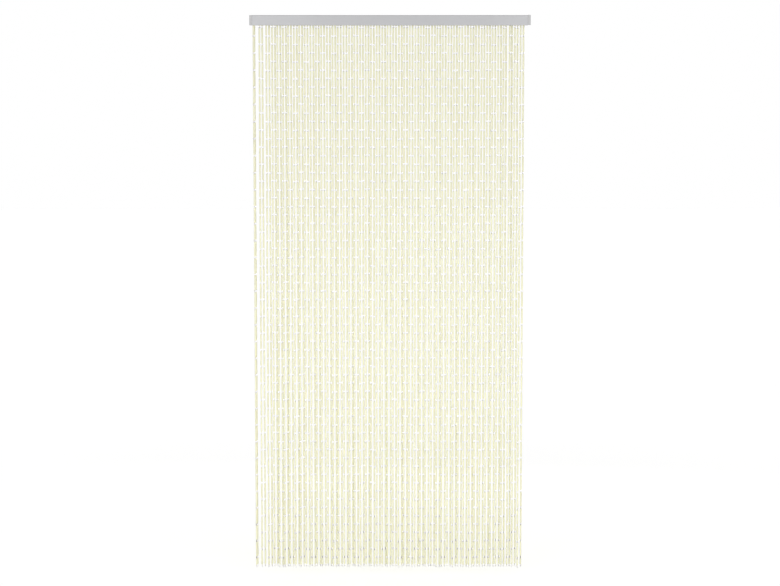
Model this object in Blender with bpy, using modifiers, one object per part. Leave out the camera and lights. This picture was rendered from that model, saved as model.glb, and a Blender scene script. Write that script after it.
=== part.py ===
"""Beaded string door curtain on a wall rail, modelled at real size in metres, +Z up.

The rail runs along X and the front faces -Y. The origin is the middle of the rail's flat back face,
which lies on the wall above the doorway, so the strings hang from there to Z = -1.98.
Each string is threaded through tubes and beads, hooked up as a narrow loop with two hanging legs.
"""
import math

import bmesh
import bpy
from mathutils import Vector

# Rail: an aluminium channel, open below, with two ledges inside that carry the hook strip
OVERALL_WIDTH = 1.000
RAIL_HEIGHT = 0.036
RAIL_DEPTH = 0.024
RAIL_WALL = 0.0015
RAIL_CORNER = 0.0015  # outer corner radius of the section, above
LOWER_CORNER = 0.0012  # and at its lower front edge
LEDGE_REACH = 0.002
LEDGE_HEIGHT = 0.0015
LEDGE_ABOVE_EDGE = 0.0215  # from the rail's lower edge to the underside of the ledges
FIT_GAP = 0.0003  # between pieces that touch

# End caps: a moulded cap on each end, as large as the section
CAP_LENGTH = 0.010
CAP_ROUNDING = 0.0008
CAPS = (  # name, side, how far it sits above the rail's middle
    ("end_cap_left", -1, 0.0),
    ("end_cap_right", 1, 0.0010),
)

# Hook strip that the strings grow from
STRIP_HEIGHT = 0.003
STRIP_LENGTH = 0.978

# Strings: loops of two legs each, four-sided, the width of the tubes that they are threaded through
LOOPS = 49
LOOP_PITCH = 0.01967
LAST_LOOP_X = 0.4689
STRING_WIDTH = 0.0056
DROP = 1.960  # from the rail's lower edge to the string ends
STEPS = 3  # straight pieces in one leg
LEG_REACH_TOP = 0.0054  # from the middle of a loop to each leg, at the rail
LEG_REACH_END = 0.0064  # and at the ends, where the legs have spread
LOOP_TURN = math.radians(22)  # each loop hangs a little turned about its own middle
TURN_VARIES = math.radians(3)
PLACE_VARIES = 0.0005  # how unevenly the loops are hooked up
SWAY = 0.0002  # how far a loop's end hangs off its plumb line
END_VARIES = 0.0015  # how unevenly the strings are cut
ODD_LOOPS = {  # loop: (sideways shift, turn); the leftmost loop hangs nearly edge on
    0: (-0.0089, math.radians(76)),
    1: (-0.0041, LOOP_TURN),
    2: (0.0008, LOOP_TURN),
    3: (0.0018, LOOP_TURN),
    4: (0.0011, LOOP_TURN),
    5: (0.0009, LOOP_TURN),
    45: (-0.0011, math.radians(33)),
    46: (0.0005, math.radians(40)),
    48: (0.0011, LOOP_TURN),
}

RAIL_END_X = OVERALL_WIDTH / 2 - CAP_LENGTH
RAIL_BOTTOM = -RAIL_HEIGHT / 2
STRING_PLANE = -RAIL_DEPTH / 2
LEDGE_TOP = RAIL_BOTTOM + LEDGE_ABOVE_EDGE + LEDGE_HEIGHT
STRIP_BOTTOM = LEDGE_TOP + FIT_GAP
STRIP_DEPTH = RAIL_DEPTH - 2 * RAIL_WALL - 2 * FIT_GAP


def clear_scene():
    for found in list(bpy.data.objects):
        bpy.data.objects.remove(found, do_unlink=True)


def new_collection(name):
    made = bpy.data.collections.new(name)
    bpy.context.scene.collection.children.link(made)
    return made


def material(name, colour, roughness, metallic=0.0):
    made = bpy.data.materials.new(name)
    made.use_nodes = True
    shader = made.node_tree.nodes["Principled BSDF"]
    shader.inputs["Base Color"].default_value = (*colour, 1.0)
    shader.inputs["Roughness"].default_value = roughness
    shader.inputs["Metallic"].default_value = metallic
    return made


def rounded_corner(corner, radius, start, points=4):
    """Points on a quarter circle inside a corner, turning clockwise from the angle start."""
    middle = Vector(corner) - radius * Vector(
        (math.copysign(1, corner[0] - STRING_PLANE), math.copysign(1, corner[1]))
    )
    for step in range(points):
        angle = start - math.radians(90) * step / (points - 1)
        yield middle + radius * Vector((math.cos(angle), math.sin(angle)))


def rail_outline():
    """The section as (Y, Z) points, clockwise round the outside, then back along the inside."""
    front, back = -RAIL_DEPTH, 0.0
    top, bottom = RAIL_HEIGHT / 2, RAIL_BOTTOM
    inner_front, inner_back = front + RAIL_WALL, back - RAIL_WALL
    ledge_low = RAIL_BOTTOM + LEDGE_ABOVE_EDGE
    outline = list(rounded_corner((front, top), RAIL_CORNER, math.radians(180)))
    outline += rounded_corner((back, top), RAIL_CORNER, math.radians(90))
    outline += [
        (back, bottom),
        (inner_back, bottom),
        (inner_back, ledge_low),
        (inner_back - LEDGE_REACH, ledge_low),
        (inner_back - LEDGE_REACH, LEDGE_TOP),
        (inner_back, LEDGE_TOP),
        (inner_back, top - RAIL_WALL),
        (inner_front, top - RAIL_WALL),
        (inner_front, LEDGE_TOP),
        (inner_front + LEDGE_REACH, LEDGE_TOP),
        (inner_front + LEDGE_REACH, ledge_low),
        (inner_front, ledge_low),
        (inner_front, bottom),
    ]
    outline += rounded_corner((front, bottom), LOWER_CORNER, math.radians(270))
    return outline


def make_rail(parts):
    """The section as a flat curve in its own XY, extruded both ways and laid along X."""
    curve = bpy.data.curves.new("rail", "CURVE")
    curve.dimensions = "2D"
    curve.fill_mode = "BOTH"
    curve.extrude = RAIL_END_X
    outline = rail_outline()
    spline = curve.splines.new("POLY")
    spline.points.add(len(outline) - 1)
    for point, (y, z) in zip(spline.points, outline):
        point.co = (y, z, 0.0, 1.0)
    spline.use_cyclic_u = True
    rail = bpy.data.objects.new("rail", curve)
    rail.rotation_euler = (math.pi / 2, 0.0, math.pi / 2)
    parts.objects.link(rail)
    return rail


def make_cap(parts, name, side, lift):
    """A block across the rail's end, flush with its back."""
    length = CAP_LENGTH - FIT_GAP
    mesh = bpy.data.meshes.new(name)
    shape = bmesh.new()
    bmesh.ops.create_cube(shape, size=1.0)
    bmesh.ops.scale(shape, vec=(length, RAIL_DEPTH, RAIL_HEIGHT), verts=shape.verts)
    shape.to_mesh(mesh)
    shape.free()
    cap = bpy.data.objects.new(name, mesh)
    cap.location = (side * (OVERALL_WIDTH - length) / 2, STRING_PLANE, lift)
    rounding = cap.modifiers.new("rounding", "BEVEL")
    rounding.width = CAP_ROUNDING
    rounding.segments = 2
    parts.objects.link(cap)
    return cap


def loop_place(loop):
    """A loop's X at the rail, and how far it is turned about its own middle."""
    shift, turn = ODD_LOOPS.get(loop, (PLACE_VARIES * math.sin(2.0 * loop), LOOP_TURN))
    turn += TURN_VARIES * math.sin(2.3 * loop + 0.7)
    return LAST_LOOP_X - (LOOPS - 1 - loop) * LOOP_PITCH + shift, turn


def leg_point(loop, side, fall):
    """A leg's middle, where fall runs from 0 at the rail's lower edge to 1 at the leg's end.

    The two legs of a loop draw apart quickly at first, and then hang side by side.
    """
    place, turn = loop_place(loop)
    spread = 1 - (1 - fall) ** 2
    reach = side * (LEG_REACH_TOP + (LEG_REACH_END - LEG_REACH_TOP) * spread)
    sway = SWAY * fall * math.sin(1.9 * loop + 2.2 * fall)
    end = RAIL_BOTTOM - DROP + END_VARIES * math.sin(2.6 * loop + 0.3 * side)
    return Vector(
        (
            place + reach * math.cos(turn) + sway,
            STRING_PLANE + reach * math.sin(turn),
            RAIL_BOTTOM + (end - RAIL_BOTTOM) * fall,
        )
    )


def make_legs():
    """Every leg as a square prism that is divided at its steps and hung on its own line."""
    shape = bmesh.new()
    for loop in range(LOOPS):
        for side in (-1, 1):
            already = len(shape.verts)
            leg = bmesh.ops.create_cube(shape, size=1.0)["verts"]
            edges = {edge for vert in leg for edge in vert.link_edges}
            upright = [edge for edge in edges if edge.verts[0].co.z != edge.verts[1].co.z]
            bmesh.ops.subdivide_edges(shape, edges=upright, cuts=STEPS - 1)
            shape.verts.ensure_lookup_table()
            for vert in shape.verts[already:]:
                fall = 0.5 - vert.co.z
                middle = leg_point(loop, side, fall)
                if fall < 0.01:
                    middle.z = STRIP_BOTTOM + STRIP_HEIGHT / 2
                vert.co = middle + STRING_WIDTH * Vector((vert.co.x, vert.co.y, 0.0))
    mesh = bpy.data.meshes.new("legs")
    shape.to_mesh(mesh)
    shape.free()
    return bpy.data.objects.new("legs", mesh)


def make_string_curtain(parts, cutters):
    """The hook strip with all the legs grown into its underside, as one body."""
    legs = make_legs()
    cutters.objects.link(legs)
    legs.hide_render = True
    legs.display_type = "WIRE"

    mesh = bpy.data.meshes.new("string_curtain")
    shape = bmesh.new()
    bmesh.ops.create_cube(shape, size=1.0)
    bmesh.ops.scale(shape, vec=(STRIP_LENGTH, STRIP_DEPTH, STRIP_HEIGHT), verts=shape.verts)
    shape.to_mesh(mesh)
    shape.free()
    curtain = bpy.data.objects.new("string_curtain", mesh)
    curtain.location = (0.0, STRING_PLANE, STRIP_BOTTOM + STRIP_HEIGHT / 2)
    join = curtain.modifiers.new("legs", "BOOLEAN")
    join.operation = "UNION"
    join.object = legs
    parts.objects.link(curtain)
    return curtain


def main():
    clear_scene()
    parts = new_collection("beaded_door_curtain")
    cutters = new_collection("cutters")

    rail = make_rail(parts)
    rail.data.materials.append(material("anodised_aluminium", (0.53, 0.54, 0.56), 0.38, 0.9))

    cap_plastic = material("grey_cap_plastic", (0.55, 0.55, 0.57), 0.45)
    for name, side, lift in CAPS:
        make_cap(parts, name, side, lift).data.materials.append(cap_plastic)

    curtain = make_string_curtain(parts, cutters)
    curtain.data.materials.append(material("cream_pvc", (0.86, 0.84, 0.70), 0.32))


main()
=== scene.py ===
"""Looks of the beaded door curtain: its strings of cream tubes and clear beads, its rail and its light.

The rail, its caps and the way each string hangs come from the solids. Everything is in metres, +Z up,
with the origin at the middle of the rail's back and the front facing -Y.
"""

import math

import bmesh
import bpy
import numpy as np
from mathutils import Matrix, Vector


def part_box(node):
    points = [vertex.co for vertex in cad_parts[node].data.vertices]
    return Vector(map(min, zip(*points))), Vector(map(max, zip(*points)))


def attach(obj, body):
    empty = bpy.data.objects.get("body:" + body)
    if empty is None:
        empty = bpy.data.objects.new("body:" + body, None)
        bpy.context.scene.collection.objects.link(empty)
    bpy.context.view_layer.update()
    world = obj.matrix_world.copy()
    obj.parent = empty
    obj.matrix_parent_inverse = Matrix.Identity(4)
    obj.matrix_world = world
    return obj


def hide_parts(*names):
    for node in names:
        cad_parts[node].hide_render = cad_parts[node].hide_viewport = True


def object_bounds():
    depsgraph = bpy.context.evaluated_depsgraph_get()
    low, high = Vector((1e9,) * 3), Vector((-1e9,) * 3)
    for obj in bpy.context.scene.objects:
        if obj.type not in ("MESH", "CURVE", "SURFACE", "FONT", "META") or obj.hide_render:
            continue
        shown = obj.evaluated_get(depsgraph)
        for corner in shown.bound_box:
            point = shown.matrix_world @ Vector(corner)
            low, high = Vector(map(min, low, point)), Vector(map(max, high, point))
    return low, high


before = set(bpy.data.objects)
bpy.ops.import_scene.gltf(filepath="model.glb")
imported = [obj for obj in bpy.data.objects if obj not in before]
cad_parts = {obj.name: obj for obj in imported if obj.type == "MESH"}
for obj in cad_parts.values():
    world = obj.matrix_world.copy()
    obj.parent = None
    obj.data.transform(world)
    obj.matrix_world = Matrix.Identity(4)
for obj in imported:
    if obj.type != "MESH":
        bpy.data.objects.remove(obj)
cad_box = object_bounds()

# The rail, as the solids have it
RAIL_LOW, RAIL_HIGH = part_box("rail")
STRIP_LOW, STRIP_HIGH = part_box("string_curtain")
RAIL_BOTTOM = RAIL_LOW[2]
STRING_PLANE = (RAIL_LOW[1] + RAIL_HIGH[1]) / 2
STRIP_TOP = STRIP_HIGH[2]
STRIP_HEIGHT = 0.003
STRIP_BOTTOM = STRIP_TOP - STRIP_HEIGHT
STRIP_DEPTH = 0.0204
STRIP_ROUNDING = 0.0004

# How the loops hang, as the solids have it
LOOPS = 49
LOOP_PITCH = 0.01967
LAST_LOOP_X = 0.4689
DROP = 1.960
LEG_REACH_TOP = 0.0054
LEG_REACH_END = 0.0064
LOOP_TURN = math.radians(22)
TURN_VARIES = math.radians(3)
PLACE_VARIES = 0.0005
SWAY = 0.0002
END_VARIES = 0.0015
ODD_LOOPS = {  # loop: (sideways shift, turn); the leftmost loop hangs nearly edge on
    0: (-0.0089, math.radians(76)),
    1: (-0.0041, LOOP_TURN),
    2: (0.0008, LOOP_TURN),
    3: (0.0018, LOOP_TURN),
    4: (0.0011, LOOP_TURN),
    5: (0.0009, LOOP_TURN),
    45: (-0.0011, math.radians(33)),
    46: (0.0005, math.radians(40)),
    48: (0.0011, LOOP_TURN),
}
# How far on in its sine each next loop is, in radians, so that no pattern shows
PLACE_STEP = 2.0
TURN_STEP, TURN_START = 2.3, 0.7
END_STEP, END_LEG_STEP = 2.6, 0.3
SWAY_STEP, SWAY_BEND = 1.9, 2.2

# What is threaded on each leg
TUBE_RADIUS = 0.0033
TUBE_BORE = 0.00264
TUBE_LENGTH = 0.0537
BEAD_RADIUS = 0.00445
BEAD_BORE = 0.0008
THREAD_RADIUS = 0.0005
KNOT_RADIUS = 0.0016
KNOT_ROWS = (  # from the top: part of the knot's radius, and how far down in metres
    (0.15, 0.0),
    (0.8, 0.0003),
    (1.0, 0.0012),
    (0.8, 0.0022),
    (0.4, 0.0028),
    (0.15, 0.0030),
)
FIRST_BEAD = 0.0066  # below the rail's lower edge, on every other loop
SEAT = 2 * math.sqrt(BEAD_RADIUS**2 - TUBE_BORE**2)  # a bead's share of the thread, between two tube ends
REPEAT = TUBE_LENGTH + SEAT
SHORT_TUBE = TUBE_LENGTH - REPEAT / 2
REPEATS = 32
JOINT_DRIFT = 0.00022  # how far beads stray sideways from the leg's line
LENGTH_DRIFT = 0.00030  # how unevenly the tubes are cut
# How light the beads and their bores are painted at these parts of the drop, where 0 is darkest and 1 is
# lightest: painted shade that stands in for the light falling on and through them there. Each bead's own
# value varies from this, and is then cut off at 0 and 1.
PAINTED_LIGHTNESS_AT = (0.0, 0.30, 0.42, 0.70, 0.84, 0.93, 0.985, 0.995)
PAINTED_LIGHTNESS = (0.97, 1.05, 1.3, 1.3, 1.1, 0.54, 0.2, 0.9)
PAINTED_LIGHTNESS_VARIES = 0.3  # from bead to bead

# The pegs under the strip, and how the thread lies over them
HOOK_RADIUS = 0.0010
HOOK_HEIGHT = STRIP_BOTTOM - 0.0042
HOOK_HALF = 0.0035
HOOK_ROOT = 0.0005  # how deep its ends sit in the strip
CROWN_REACH = 1.3  # in peg radii, as are the next two
CROWN_RISE = 1.6
CROWN_FALL = 0.9

# How finely the pieces are made
TUBE_SIDES = 12
BEAD_SIDES = 12
BEAD_BANDS = 6
THREAD_SIDES = 6
KNOT_SIDES = 6
HOOK_SIDES = 6
SHARP_ANGLE = math.radians(50)
BAYS = 7  # the strings are kept as this many pieces, side by side
SEED = 20
UPRIGHT = np.array([0, 0, 1e-3])  # a short step up, which gives a bead or knot its axis


# Shapes built from arrays


def add_object(name, vertices, quads, tones=None, caps=(), surfaces=None):
    """A smooth mesh object from arrays of points and faces, with each face's material number."""
    mesh = bpy.data.meshes.new(name)
    mesh.vertices.add(len(vertices))
    mesh.vertices.foreach_set("co", np.asarray(vertices, np.float32).ravel())
    corners = np.asarray(quads, np.int32).ravel()
    loop_total = np.full(len(quads), 4, np.int32)
    if len(caps):
        caps = np.asarray(caps, np.int32)
        corners = np.concatenate([corners, caps.ravel()])
        loop_total = np.concatenate([loop_total, np.full(len(caps), caps.shape[1], np.int32)])
    mesh.loops.add(len(corners))
    mesh.loops.foreach_set("vertex_index", corners)
    mesh.polygons.add(len(loop_total))
    starts = np.concatenate([[0], np.cumsum(loop_total)[:-1]]).astype(np.int32)
    mesh.polygons.foreach_set("loop_start", starts)
    mesh.polygons.foreach_set("loop_total", loop_total)
    mesh.polygons.foreach_set("use_smooth", np.full(len(loop_total), True))
    if surfaces is not None:
        mesh.polygons.foreach_set("material_index", np.asarray(surfaces, np.int32))
    mesh.update(calc_edges=True)
    mesh.validate()
    if tones is not None:
        layer = mesh.attributes.new("tone", "FLOAT", "POINT")
        layer.data.foreach_set("value", np.asarray(tones, np.float32))
    made = bpy.data.objects.new(name, mesh)
    bpy.context.scene.collection.objects.link(made)
    return made


def across(axes):
    """Two unit vectors square to each of the given axes."""
    side = np.cross(axes, np.array([0.0, 1.0, 0.0]))
    side /= np.linalg.norm(side, axis=1, keepdims=True)
    return side, np.cross(axes, side)


def turned_copies(profile, sides, starts, ends, spins):
    """Copies of a ring-shaped solid of revolution, each stretched between its own two points.

    The profile is a closed run of (radius, place along, place in metres) points, listed so that faces
    point out. A point's place is start + (end - start) * along + axis * metres.
    """
    starts, ends = np.asarray(starts), np.asarray(ends)
    run = ends - starts
    axes = run / np.linalg.norm(run, axis=1, keepdims=True)
    u, w = across(axes)
    radius, along, metres = np.array(profile).T
    angle = np.arange(sides) * 2 * math.pi / sides
    angle = angle[None, :] + np.asarray(spins)[:, None]
    ring = np.cos(angle)[:, None, :, None] * u[:, None, None, :]
    ring = ring + np.sin(angle)[:, None, :, None] * w[:, None, None, :]
    middle = starts[:, None, :] + run[:, None, :] * along[None, :, None]
    middle = middle + axes[:, None, :] * metres[None, :, None]
    points = middle[:, :, None, :] + radius[None, :, None, None] * ring
    rows = len(profile)
    row, side = np.meshgrid(np.arange(rows), np.arange(sides), indexing="ij")
    next_row, next_side = (row + 1) % rows, (side + 1) % sides
    quads = np.stack(
        [
            row * sides + side,
            row * sides + next_side,
            next_row * sides + next_side,
            next_row * sides + side,
        ],
        axis=-1,
    ).reshape(-1, 4)
    copies = len(starts)
    shifted = quads[None, :, :] + (np.arange(copies) * rows * sides)[:, None, None]
    return points.reshape(-1, 3), shifted.reshape(-1, 4), rows * sides


def swept(path, radius, sides):
    """A round rod along one path, as points, four-cornered faces and its two end faces."""
    path = np.asarray(path)
    ahead = np.gradient(path, axis=0)
    ahead /= np.linalg.norm(ahead, axis=1, keepdims=True)
    u = np.cross(ahead, np.array([0.3, 0.9, 0.1]))
    u /= np.linalg.norm(u, axis=1, keepdims=True)
    w = np.cross(ahead, u)
    angle = np.arange(sides) * 2 * math.pi / sides
    points = path[:, None, :] + radius * (
        np.cos(angle)[None, :, None] * u[:, None, :] + np.sin(angle)[None, :, None] * w[:, None, :]
    )
    row, side = np.meshgrid(np.arange(len(path) - 1), np.arange(sides), indexing="ij")
    next_side = (side + 1) % sides
    quads = np.stack(
        [
            row * sides + side,
            row * sides + next_side,
            (row + 1) * sides + next_side,
            (row + 1) * sides + side,
        ],
        axis=-1,
    ).reshape(-1, 4)
    first = np.arange(sides)[::-1]
    last = (len(path) - 1) * sides + np.arange(sides)
    return points.reshape(-1, 3), quads, np.stack([first, last])


# Where each leg hangs and what is on it


def loop_place(loop):
    """A loop's X at the rail, and how far it is turned about its own middle."""
    shift, turn = ODD_LOOPS.get(loop, (PLACE_VARIES * math.sin(PLACE_STEP * loop), LOOP_TURN))
    turn += TURN_VARIES * math.sin(TURN_STEP * loop + TURN_START)
    return LAST_LOOP_X - (LOOPS - 1 - loop) * LOOP_PITCH + shift, turn


def leg_shift(loop, side):
    """How much lower than the drop a leg's end hangs."""
    return -END_VARIES * math.sin(END_STEP * loop + END_LEG_STEP * side)


def leg_point(loop, side, below):
    """A leg's middle at a distance below the rail's lower edge."""
    place, turn = loop_place(loop)
    fall = below / (DROP + leg_shift(loop, side))
    spread = 1 - (1 - max(fall, 0.0)) ** 2
    reach = side * (LEG_REACH_TOP + (LEG_REACH_END - LEG_REACH_TOP) * spread)
    sway = SWAY * fall * math.sin(SWAY_STEP * loop + SWAY_BEND * fall)
    return np.array(
        [
            place + reach * math.cos(turn) + sway,
            STRING_PLANE + reach * math.sin(turn),
            RAIL_BOTTOM - below,
        ]
    )


def thread_leg(loop, side, rng):
    """Bead middles of one leg from the top, and its tubes as pairs of end points.

    On odd loops the short tube is at the top and on even loops it is at the end, so neighbouring
    loops have their beads half a repeat apart.
    """
    short_first = loop % 2 == 1
    lengths = [TUBE_LENGTH] * REPEATS
    lengths.insert(0 if short_first else REPEATS, SHORT_TUBE)
    below = FIRST_BEAD - SEAT / 2 - SHORT_TUBE + leg_shift(loop, side)
    top = leg_point(loop, side, below)
    beads, tubes = [], []
    for index, length in enumerate(lengths):
        below += length + rng.uniform(-LENGTH_DRIFT, LENGTH_DRIFT) * (index < REPEATS) + SEAT / 2
        bead = leg_point(loop, side, below)
        bead[:2] += rng.uniform(-JOINT_DRIFT, JOINT_DRIFT, 2)
        below += SEAT / 2
        ahead = (bead - top) / np.linalg.norm(bead - top)
        tube_top = top if index == 0 else top + ahead * SEAT / 2
        tubes.append((tube_top, bead - ahead * SEAT / 2))
        beads.append(bead)
        top = bead
    return beads, tubes


def tube_profile():
    """A straight tube, open at both ends."""
    return [(TUBE_RADIUS, 0, 0), (TUBE_RADIUS, 1, 0), (TUBE_BORE, 1, 0), (TUBE_BORE, 0, 0)]


def bead_profile():
    """A round bead with a straight bore."""
    lean = math.acos(BEAD_BORE / BEAD_RADIUS)
    rows = []
    for band in range(BEAD_BANDS + 1):
        angle = -lean + 2 * lean * band / BEAD_BANDS
        rows.append((BEAD_RADIUS * math.cos(angle), 0, BEAD_RADIUS * math.sin(angle)))
    return rows


def knot_profile():
    """A small melted knob at the thread's end, from its foot up, with a hair-thin core."""
    return [(KNOT_RADIUS * part, 0, down) for part, down in KNOT_ROWS[::-1]]


def thread_path(loop, legs, knots):
    """The middle of a loop's thread, from one knot up its leg, over the hook and down to the other."""
    place, turn = loop_place(loop)
    hook = np.array([place, STRING_PLANE, HOOK_HEIGHT])
    lean = np.array([math.cos(turn), math.sin(turn), 0.0])
    crown = [
        hook
        + lean * step * HOOK_RADIUS * CROWN_REACH
        + np.array([0, 0, CROWN_RISE - CROWN_FALL * step * step]) * HOOK_RADIUS
        for step in (-1, 0, 1)
    ]
    (left_beads, left_tubes), (right_beads, right_tubes) = legs[-1], legs[1]
    return [
        knots[-1],
        *left_beads[::-1],
        left_tubes[0][0],
        *crown,
        right_tubes[0][0],
        *right_beads,
        knots[1],
    ]


def make_strings(tube_looks, bead_looks, bore_looks, thread_looks):
    """Every bay's tubes and beads as one piece each, then all the threads with their knots as one."""
    rng = np.random.default_rng(SEED)
    made = []
    thread_points, thread_quads, thread_caps, count = [], [], [], 0
    for bay in range(BAYS):
        beads, tubes = [], []
        for loop in range(bay * LOOPS // BAYS, (bay + 1) * LOOPS // BAYS):
            legs = {side: thread_leg(loop, side, rng) for side in (-1, 1)}
            for side in (-1, 1):
                beads += legs[side][0]
                tubes += legs[side][1]
            knots = {side: legs[side][0][-1] - np.array([0, 0, BEAD_RADIUS]) for side in (-1, 1)}
            points, quads, caps = swept(thread_path(loop, legs, knots), THREAD_RADIUS, THREAD_SIDES)
            thread_points.append(points)
            thread_quads.append(quads + count)
            thread_caps.append(caps + count)
            count += len(points)
            for knot in knots.values():
                ends = [knot], [knot - UPRIGHT]
                points, quads, _ = turned_copies(knot_profile(), KNOT_SIDES, *ends, [0.0])
                thread_points.append(points)
                thread_quads.append(quads + count)
                count += len(points)

        tubes = np.array(tubes)
        spins = rng.uniform(0, math.tau, len(tubes))
        points, quads, each = turned_copies(tube_profile(), TUBE_SIDES, tubes[:, 0], tubes[:, 1], spins)
        tones = np.repeat(rng.uniform(0, 1, len(tubes)), each)
        piece = add_object(f"tubes_{bay + 1}", points, quads, tones)
        piece.data.set_sharp_from_angle(angle=SHARP_ANGLE)
        piece.data.materials.append(tube_looks)
        made.append(piece)

        beads = np.array(beads)
        spins = rng.uniform(0, math.tau, len(beads))
        points, quads, each = turned_copies(bead_profile(), BEAD_SIDES, beads, beads + UPRIGHT, spins)
        # Each bead's painted shade, set by its height in the drop, then varied from bead to bead
        painted_lightness = np.interp(RAIL_BOTTOM - beads[:, 2], np.array(PAINTED_LIGHTNESS_AT) * DROP, PAINTED_LIGHTNESS)
        painted_lightness += rng.uniform(-PAINTED_LIGHTNESS_VARIES, PAINTED_LIGHTNESS_VARIES, len(beads))
        tones = np.repeat(np.clip(painted_lightness, 0, 1), each)
        in_bore = np.arange(each) >= each - BEAD_SIDES
        surfaces = np.tile(in_bore, len(beads))
        piece = add_object(f"beads_{bay + 1}", points, quads, tones, surfaces=surfaces)
        piece.data.set_sharp_from_angle(angle=SHARP_ANGLE)
        piece.data.materials.append(bead_looks)
        piece.data.materials.append(bore_looks)
        made.append(piece)

    points, quads, caps = (np.concatenate(part) for part in (thread_points, thread_quads, thread_caps))
    piece = add_object("threads", points, quads, caps=caps)
    piece.data.materials.append(thread_looks)
    made.append(piece)
    return made


# The strip that carries the strings, out of sight inside the rail


def make_hook_strip(looks):
    """A flat strip with one small bent peg under it for each loop."""
    shape = bmesh.new()
    bmesh.ops.create_cube(shape, size=1.0)
    size = (STRIP_HIGH[0] - STRIP_LOW[0], STRIP_DEPTH, STRIP_HEIGHT)
    bmesh.ops.scale(shape, vec=size, verts=shape.verts)
    bmesh.ops.translate(
        shape, vec=(0.0, STRING_PLANE, STRIP_BOTTOM + STRIP_HEIGHT / 2), verts=shape.verts
    )
    bmesh.ops.bevel(
        shape, geom=shape.edges[:], offset=STRIP_ROUNDING, segments=2, affect="EDGES", profile=0.5
    )
    for loop in range(LOOPS):
        place, turn = loop_place(loop)
        across_loop = np.array([-math.sin(turn), math.cos(turn), 0.0])
        middle = np.array([place, STRING_PLANE, 0.0])
        up = np.array([0, 0, STRIP_BOTTOM + HOOK_ROOT])
        low = np.array([0, 0, HOOK_HEIGHT])
        path = [
            middle + across_loop * HOOK_HALF + up,
            middle + across_loop * HOOK_HALF + low + np.array([0, 0, HOOK_RADIUS]),
            middle + across_loop * (HOOK_HALF - HOOK_RADIUS) + low,
            middle - across_loop * (HOOK_HALF - HOOK_RADIUS) + low,
            middle - across_loop * HOOK_HALF + low + np.array([0, 0, HOOK_RADIUS]),
        ]
        points, quads, caps = swept(path, HOOK_RADIUS, HOOK_SIDES)
        verts = [shape.verts.new(point) for point in points]
        for face in [*quads, *caps]:
            shape.faces.new([verts[corner] for corner in face])
    bmesh.ops.recalc_face_normals(shape, faces=shape.faces)
    mesh = bpy.data.meshes.new("hook_strip")
    shape.to_mesh(mesh)
    shape.free()
    mesh.materials.append(looks)
    made = bpy.data.objects.new("hook_strip", mesh)
    bpy.context.scene.collection.objects.link(made)
    return made


# Materials

NOISE_RANGE = (0.3, 0.7)  # where most of a noise's values lie


def new_material(name):
    made = bpy.data.materials.new(name)
    made.use_nodes = True
    return made, made.node_tree, made.node_tree.nodes["Principled BSDF"]


def noise(tree, scale, detail=3.0, stretch=(1.0, 1.0, 1.0)):
    """Noise in object space, stretched by dividing its scale along each axis."""
    where = tree.nodes.new("ShaderNodeTexCoord")
    mapping = tree.nodes.new("ShaderNodeMapping")
    mapping.inputs["Scale"].default_value = [scale / part for part in stretch]
    texture = tree.nodes.new("ShaderNodeTexNoise")
    texture.inputs["Scale"].default_value = 1.0
    texture.inputs["Detail"].default_value = detail
    tree.links.new(where.outputs["Object"], mapping.inputs["Vector"])
    tree.links.new(mapping.outputs["Vector"], texture.inputs["Vector"])
    return texture.outputs["Fac"]


def spread(tree, value, low, high, bottom=0.0, top=1.0):
    """A value's range from bottom to top, moved to the range from low to high."""
    node = tree.nodes.new("ShaderNodeMapRange")
    for socket, number in zip(("From Min", "From Max", "To Min", "To Max"), (bottom, top, low, high)):
        node.inputs[socket].default_value = number
    tree.links.new(value, node.inputs["Value"])
    return node.outputs["Result"]


def between(tree, factor, first, second):
    """The colour a factor of the way from the first to the second."""
    node = tree.nodes.new("ShaderNodeMix")
    node.data_type = "RGBA"
    for name, colour in (("A_Color", first), ("B_Color", second)):
        socket = next(s for s in node.inputs if s.identifier == name)
        if isinstance(colour, tuple):
            socket.default_value = (*colour, 1.0)
        else:
            tree.links.new(colour, socket)
    tree.links.new(factor, next(s for s in node.inputs if s.identifier == "Factor_Float"))
    return next(s for s in node.outputs if s.identifier == "Result_Color")


def bump(tree, height, strength, distance):
    node = tree.nodes.new("ShaderNodeBump")
    node.inputs["Strength"].default_value = strength
    node.inputs["Distance"].default_value = distance
    tree.links.new(height, node.inputs["Height"])
    return node.outputs["Normal"]


def tone_of(tree):
    """The number from 0 to 1 that every tube or bead carries: a tube's own shade, and a bead's painted
    shade, set by its height in the drop and varied from bead to bead.
    """
    node = tree.nodes.new("ShaderNodeAttribute")
    node.attribute_name = "tone"
    return node.outputs["Fac"]


def cream_tube():
    """Extruded PVC: milky cream, satin, with faint lengthwise streaks, each tube of its own shade."""
    made, tree, shader = new_material("cream_tube")
    streaks = noise(tree, 900.0, 3.0, (1.0, 1.0, 60.0))
    darker, lighter, streak = (0.800, 0.777, 0.538), (0.856, 0.838, 0.614), (0.770, 0.747, 0.503)
    shade = between(tree, tone_of(tree), darker, lighter)
    streaked = between(tree, spread(tree, streaks, 0.0, 0.5, *NOISE_RANGE), shade, streak)
    tree.links.new(streaked, shader.inputs["Base Color"])
    tree.links.new(spread(tree, streaks, 0.26, 0.40, *NOISE_RANGE), shader.inputs["Roughness"])
    tree.links.new(bump(tree, streaks, 0.15, 0.0001), shader.inputs["Normal"])
    shader.inputs["IOR"].default_value = 1.53
    shader.inputs["Subsurface Weight"].default_value = 0.35
    shader.inputs["Subsurface Radius"].default_value = (1.0, 0.9, 0.6)
    shader.inputs["Subsurface Scale"].default_value = 0.003
    return made


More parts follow.
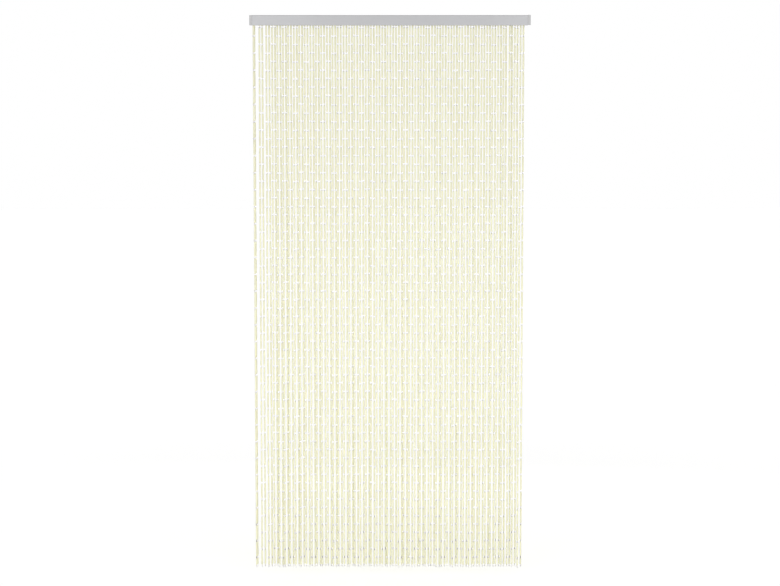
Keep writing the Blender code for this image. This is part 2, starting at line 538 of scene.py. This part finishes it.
def clear_bead():
    """Clear moulded plastic with a trace of rose, and faint moulding ripples, greyer where a bead's painted
    shade is darker.
    """
    made, tree, shader = new_material("clear_bead")
    ripples = noise(tree, 260.0, 2.0)
    # The greyer end is painted shade, picked by the bead's tone; the clearer end is the bead's own colour.
    shaded_tint, clear = (0.95, 0.93, 0.92), (1.0, 0.992, 0.988)
    tint = between(tree, tone_of(tree), shaded_tint, clear)
    tree.links.new(tint, shader.inputs["Base Color"])
    tree.links.new(spread(tree, ripples, 0.05, 0.14, *NOISE_RANGE), shader.inputs["Roughness"])
    tree.links.new(bump(tree, ripples, 0.2, 0.0002), shader.inputs["Normal"])
    shader.inputs["IOR"].default_value = 1.49
    shader.inputs["Transmission Weight"].default_value = 1.0
    return made


def bead_bore():
    """The bead's bore, left rough by the pin that it is moulded round, with painted shade from pale to
    dark: darkest near the floor, it stands in for the dark spot seen at each bead.
    """
    made, tree, shader = new_material("bead_bore")
    scuffs = noise(tree, 1500.0, 2.0)
    # Dark to pale by the bead's tone is painted shade; the scuffs are the bore's own marks.
    dark, pale, scuff = (0.065, 0.060, 0.055), (0.97, 0.96, 0.96), (0.30, 0.29, 0.28)
    shade = between(tree, tone_of(tree), dark, pale)
    scuffed = between(tree, spread(tree, scuffs, 0.0, 0.3, *NOISE_RANGE), shade, scuff)
    tree.links.new(scuffed, shader.inputs["Base Color"])
    shader.inputs["Roughness"].default_value = 0.6
    return made


def white_thread():
    """Twisted nylon thread, slightly see-through white."""
    made, tree, shader = new_material("nylon_thread")
    twist = noise(tree, 1800.0, 1.0, (1.0, 1.0, 0.6))
    shade = between(tree, twist, (0.80, 0.80, 0.77), (0.92, 0.92, 0.89))
    tree.links.new(shade, shader.inputs["Base Color"])
    tree.links.new(bump(tree, twist, 0.4, 0.0002), shader.inputs["Normal"])
    shader.inputs["Roughness"].default_value = 0.5
    return made


def anodised():
    """Satin anodised aluminium with a fine grain along the rail."""
    made, tree, shader = new_material("anodised_aluminium")
    grain = noise(tree, 3500.0, 4.0, (120.0, 1.0, 1.0))
    clouds = noise(tree, 7.0, 2.0)
    plain, grained = (0.475, 0.475, 0.485), (0.435, 0.435, 0.445)
    cloudy = (0.485, 0.487, 0.50)
    metal = between(tree, spread(tree, grain, 0.0, 0.6, *NOISE_RANGE), plain, grained)
    metal = between(tree, spread(tree, clouds, 0.0, 0.35, 0.35, 0.65), metal, cloudy)
    tree.links.new(metal, shader.inputs["Base Color"])
    tree.links.new(spread(tree, grain, 0.34, 0.48, *NOISE_RANGE), shader.inputs["Roughness"])
    tree.links.new(bump(tree, grain, 0.12, 0.0001), shader.inputs["Normal"])
    shader.inputs["Metallic"].default_value = 0.9
    return made


def moulded_grey():
    """Grey moulded plastic with a fine spark-eroded grain."""
    made, tree, shader = new_material("moulded_grey")
    grain = noise(tree, 1400.0, 2.0)
    shade = between(tree, grain, (0.46, 0.46, 0.465), (0.525, 0.525, 0.53))
    tree.links.new(shade, shader.inputs["Base Color"])
    tree.links.new(spread(tree, grain, 0.38, 0.55, *NOISE_RANGE), shader.inputs["Roughness"])
    tree.links.new(bump(tree, grain, 0.2, 0.0002), shader.inputs["Normal"])
    return made


def repaint(node, looks):
    """Gives a carried-over solid its finish."""
    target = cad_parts[node]
    if not target.material_slots:
        target.data.materials.append(looks)
    for slot in target.material_slots:
        slot.material = looks


# Camera, at the photograph's height and angle

PHOTO_WIDTH = 780
FOCAL_PIXELS = 2221.4
VIEW_DISTANCE = 8.0
VIEW_TILT = math.radians(5.994)  # looking down
AIM_HEIGHT = -0.975  # where the view's middle meets the curtain
SENSOR_WIDTH = 36.0


def make_camera():
    lens = bpy.data.cameras.new("camera")
    lens.sensor_width = SENSOR_WIDTH
    lens.lens = SENSOR_WIDTH * FOCAL_PIXELS / PHOTO_WIDTH
    camera = bpy.data.objects.new("camera", lens)
    camera.location = (
        0.0,
        STRING_PLANE - VIEW_DISTANCE * math.cos(VIEW_TILT),
        AIM_HEIGHT + VIEW_DISTANCE * math.sin(VIEW_TILT),
    )
    camera.rotation_euler = (math.radians(90) - VIEW_TILT, 0.0, 0.0)
    bpy.context.scene.collection.objects.link(camera)
    bpy.context.scene.camera = camera


# Studio

FLOOR_SIZE = 40.0
FLOOR_CLEARANCE = 0.03
FLOOR_COLOUR = (0.93, 0.93, 0.93)
# The floor's glow is painted light; it is weaker near the curtain, a painted shade there.
FLOOR_GLOW = (0.32, 0.377)  # its own light near the curtain and further off
FLOOR_GLOW_AT = (0.5, 3.5)  # and how far off these are
CEILING_STRENGTH = 0.6  # of the white surround overhead, which is 1 at eye level
CEILING_FADE = (0.2, 0.6)  # heights on the surround, as sines, between which it dims
LAMPS = (  # name, place, aim, width, power in watts, degrees that its light spreads over
    ("key", (-0.8, -2.4, -1.4), (0.0, 0.0, -1.4), 1.0, 3.4, 105),
    ("fill", (0.8, -2.4, -1.4), (0.0, 0.0, -1.4), 1.0, 3.4, 105),
    ("rail_left", (-1.0, -2.4, 0.1), (-0.3, 0.0, 0.0), 0.7, 2.7, 180),
    ("rail_right", (1.3, -2.4, 0.1), (0.4, 0.0, 0.0), 0.7, 4.0, 180),
    ("back", (0.2, 2.2, -0.9), (0.0, 0.0, -1.0), 1.6, 3.0, 180),
)


def make_surround():
    """White all round, dimmer overhead."""
    scene = bpy.context.scene
    scene.view_settings.view_transform = "Standard"
    scene.view_settings.look = "None"

    world = bpy.data.worlds.new("studio")
    world.use_nodes = True
    tree = world.node_tree
    surround = tree.nodes["Background"]
    surround.inputs["Color"].default_value = (1.0, 1.0, 1.0, 1.0)
    where = tree.nodes.new("ShaderNodeTexCoord")
    parts = tree.nodes.new("ShaderNodeSeparateXYZ")
    tree.links.new(where.outputs["Generated"], parts.inputs["Vector"])
    strength = spread(tree, parts.outputs["Z"], 1.0, CEILING_STRENGTH, *CEILING_FADE)
    tree.links.new(strength, surround.inputs["Strength"])
    scene.world = world


def make_floor():
    """A pale floor just under the strings, which glows a little so that it stays close to white: painted
    light, weaker near the curtain as painted shade.
    """
    height = cad_box[0][2] - FLOOR_CLEARANCE
    bpy.ops.mesh.primitive_plane_add(size=FLOOR_SIZE, location=(0.0, 0.0, height))
    floor = bpy.context.object
    floor.name = "floor"
    looks, tree, shader = new_material("pale_floor")
    shader.inputs["Base Color"].default_value = (*FLOOR_COLOUR, 1.0)
    shader.inputs["Roughness"].default_value = 0.9
    shader.inputs["Emission Color"].default_value = (1.0, 1.0, 1.0, 1.0)
    where = tree.nodes.new("ShaderNodeTexCoord")
    distance = tree.nodes.new("ShaderNodeVectorMath")
    distance.operation = "LENGTH"
    tree.links.new(where.outputs["Object"], distance.inputs[0])
    glow = spread(tree, distance.outputs["Value"], *FLOOR_GLOW, *FLOOR_GLOW_AT)
    tree.links.new(glow, shader.inputs["Emission Strength"])
    floor.data.materials.append(looks)


def aimed(place, aim):
    """Turns a lamp at one place to shine at another."""
    dx, dy, dz = (a - b for a, b in zip(aim, place))
    return (math.atan2(math.hypot(dx, dy), -dz), 0.0, math.atan2(dx, -dy) + math.pi)


def make_lamps():
    """Two low lamps for the strings, two at the rail's height and one behind, all square and soft."""
    for name, place, aim, width, power, spreads in LAMPS:
        lamp = bpy.data.lights.new(name, "AREA")
        lamp.size = width
        lamp.energy = power
        lamp.spread = math.radians(spreads)
        held = bpy.data.objects.new(name, lamp)
        held.location = place
        held.rotation_euler = aimed(place, aim)
        bpy.context.scene.collection.objects.link(held)


make_camera()
make_surround()
make_floor()
make_lamps()

repaint("rail", anodised())
cap_looks = moulded_grey()
repaint("end_cap_left", cap_looks)
repaint("end_cap_right", cap_looks)

strings = make_strings(cream_tube(), clear_bead(), bead_bore(), white_thread())
strings.append(make_hook_strip(cap_looks))
for piece in strings:
    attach(piece, "root")
    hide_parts("string_curtain")
